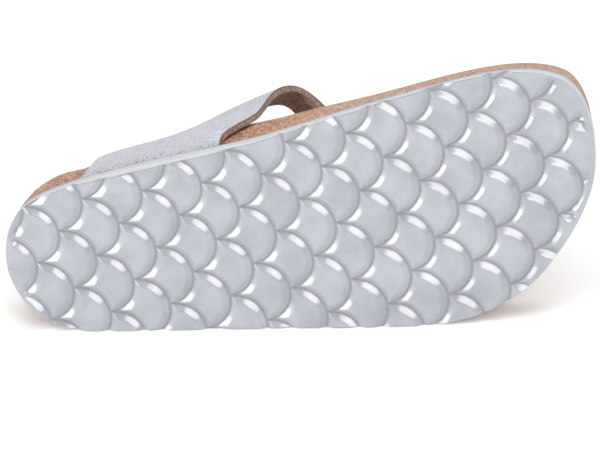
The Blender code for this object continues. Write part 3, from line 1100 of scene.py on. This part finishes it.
def build_strap():
    shape = solid_copy("upper_straps")
    regions = smooth_regions(shape)
    outside = shape.verts.layers.float.new("outside")
    for face in regions[0]:
        for vertex in face.verts:
            vertex[outside] = 1.0
    for region in regions[2:]:
        for face in region:
            on_sole = face.normal.z < FOOT_SLOPE and face.calc_center_median().z < FOOT_HEIGHT
            face.material_index = COATED if on_sole else CUT_EDGE
    for face in regions[1]:
        face.material_index = UNDERSIDE
    print("strap regions:", len(regions))
    crease_sharp(shape, STRAP_CREASE)
    made = refined("strap", shape, STRAP_LEVELS)
    displaced(made, strap_height)
    return made


def mark_cut(piece):
    """Stores each point's distance from the cut edge, for the finish of the underside to read."""
    vertices = piece.data.vertices
    edge_faces = [face for face in piece.data.polygons if face.material_index == CUT_EDGE]
    cut = {index for face in edge_faces for index in face.vertices}
    tree = sorted_points([vertices[index].co for index in cut])
    remember(piece, "from_cut", [tree.find(vertex.co)[2] / MM for vertex in vertices])


strap = build_strap()
mark_cut(strap)
settle(strap, "upper_straps")

# %% [markdown]
# ## Three leather finishes
# The coating is crackled: a fine net of greyer lines runs over it, with dark flecks where it is rubbed
# through near the sole. The cut edge is fibrous, with a dark line below the coating. The suede underside
# is rubbed pale beside the front edge. One finish with masks could hold all three, but three short ones,
# given to the faces of the three regions, are easier to read and to bake.

# %% Finish the coated side
LEATHER_SHADE = (0.560, 0.566, 0.628, 1.0)
LEATHER_PEARL = (0.678, 0.681, 0.744, 1.0)
CRACKLE_GREY = (0.37, 0.365, 0.41, 1.0)
FLECK_GREY = (0.13, 0.125, 0.135, 1.0)


def pearl_leather():
    """The coated outside: crackled, and flecked where it is rubbed through near the sole."""
    finish = Finish("pearl_leather")
    low = 1 - finish.between(finish.axis("Z") + 6.0 * finish.cloud(4.0), 8.5, 24.0)
    grain = finish.between(finish.cells(1.0, "Distance", "DISTANCE_TO_EDGE"), 0.0, 0.22)
    wrinkles = finish.cloud(3.2, 4.0, place=finish.stretched(0.5, 1.0, 1.6))
    clouds = finish.cloud(9.0, 3.0)
    colour = finish.mix(clouds, LEATHER_SHADE, LEATHER_PEARL)
    colour = finish.mix((1 - grain) * 0.8, colour, CRACKLE_GREY)
    threads = finish.cloud(0.8, 3.0, 0.65, place=finish.stretched(0.6, 1.0, 1.0))
    flecks = finish.between(threads + 0.155 * low, 0.68, 0.72)
    colour = finish.mix(flecks * (0.35 + 0.5 * low), colour, FLECK_GREY)
    relief = finish.bump(wrinkles, 0.5, 0.35)
    relief = finish.bump(grain - 0.8 * flecks, 0.12, 0.7, relief)
    finish.surface({"Base Color": colour, "Roughness": 0.42 + 0.15 * clouds, "Normal": relief})
    finish.surface({"Coat Weight": 0.15, "Coat Roughness": 0.3})
    return finish.material


# %% Finish the cut edge and the underside
CUT_DARK = (0.125, 0.088, 0.068, 1.0)
CUT_BROWN = (0.225, 0.158, 0.128, 1.0)
CUT_FIBRE = (0.47, 0.355, 0.300, 1.0)
CUT_INNER = (0.27, 0.187, 0.143, 1.0)
CUT_LINE = (0.13, 0.098, 0.085, 1.0)
UNDERSIDE_DARK = (0.055, 0.031, 0.017, 1.0)
UNDERSIDE_LIGHT = (0.42, 0.262, 0.174, 1.0)
RUBBED_PALE = (0.50, 0.355, 0.290, 1.0)
RUBBED_REACH = 3.2
RUBBED_ACROSS = (-29.5, -21.0)
RUBBED_ALONG = (115.0, 118.0)


def cut_leather():
    """The cut edge: fibrous, with a dark line below the coating."""
    finish = Finish("cut_leather")
    fibres = finish.between(finish.cloud(1.1, 4.0, 0.75), 0.34, 0.66)
    patches = finish.cloud(3.5, 3.0)
    outside = finish.read("outside")
    ragged = outside + 0.5 * (fibres - 0.5)
    dark = finish.mix(patches, CUT_DARK, CUT_BROWN)
    colour = finish.mix(fibres, dark, CUT_FIBRE)
    colour = finish.mix(finish.between(ragged, -0.1, 0.28), CUT_INNER, colour)
    colour = finish.mix(finish.between(ragged, 0.8, 1.0), colour, CUT_LINE)
    relief = finish.bump(fibres, 0.3, 0.8)
    finish.surface({"Base Color": colour, "Roughness": 0.88, "Normal": relief})
    finish.surface({"Specular IOR Level": 0.25})
    return finish.material


def rubbed_suede():
    """The strap's underside, pale beside the front edge where the arch goes down to the outer side."""
    finish, colour = napped_suede("strap_suede", UNDERSIDE_DARK, UNDERSIDE_LIGHT)
    reach = RUBBED_REACH * finish.between(finish.axis("Y"), *RUBBED_ACROSS)
    ragged = finish.read("from_cut") - reach + 2.4 * finish.cloud(1.3) - 1.2
    pale = finish.between(finish.axis("X"), *RUBBED_ALONG) * (1 - finish.between(ragged, -0.7, 0.7))
    pale = pale * (0.5 + 0.5 * finish.between(finish.cloud(0.9), 0.3, 0.6))
    finish.surface({"Base Color": finish.mix(pale, colour, RUBBED_PALE)})
    return finish.material


coated_leather = pearl_leather()
wear(strap, coated_leather, rubbed_suede(), cut_leather())

# %% [markdown]
# ## The toe post
# The post is a strip of the same leather, rolled up. It stands in the footbed and holds the tip of the
# tongue. A plain cylinder would do, but the solid has its oval shape, so it is refined like the others,
# and it wears the strap's own coating.

# %% Build and finish the post
POST_LEVELS = 3
POST_CREASE = 0.8
post_shape = solid_copy("toe_post")
crease_sharp(post_shape, POST_CREASE)
post = refined("post", post_shape, POST_LEVELS)
wear(post, coated_leather)
settle(post, "toe_post")

# %% [markdown]
# ## Sizes
# The looks should not change the sandal's size, so the corners of the dressed sandal's box are printed.

# %% Write the sizes and finish
new_low, new_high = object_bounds()
for label, corner in (("lower", new_low), ("upper", new_high)):
    print(label, "corner of the visual box:", [round(value, 4) for value in corner])
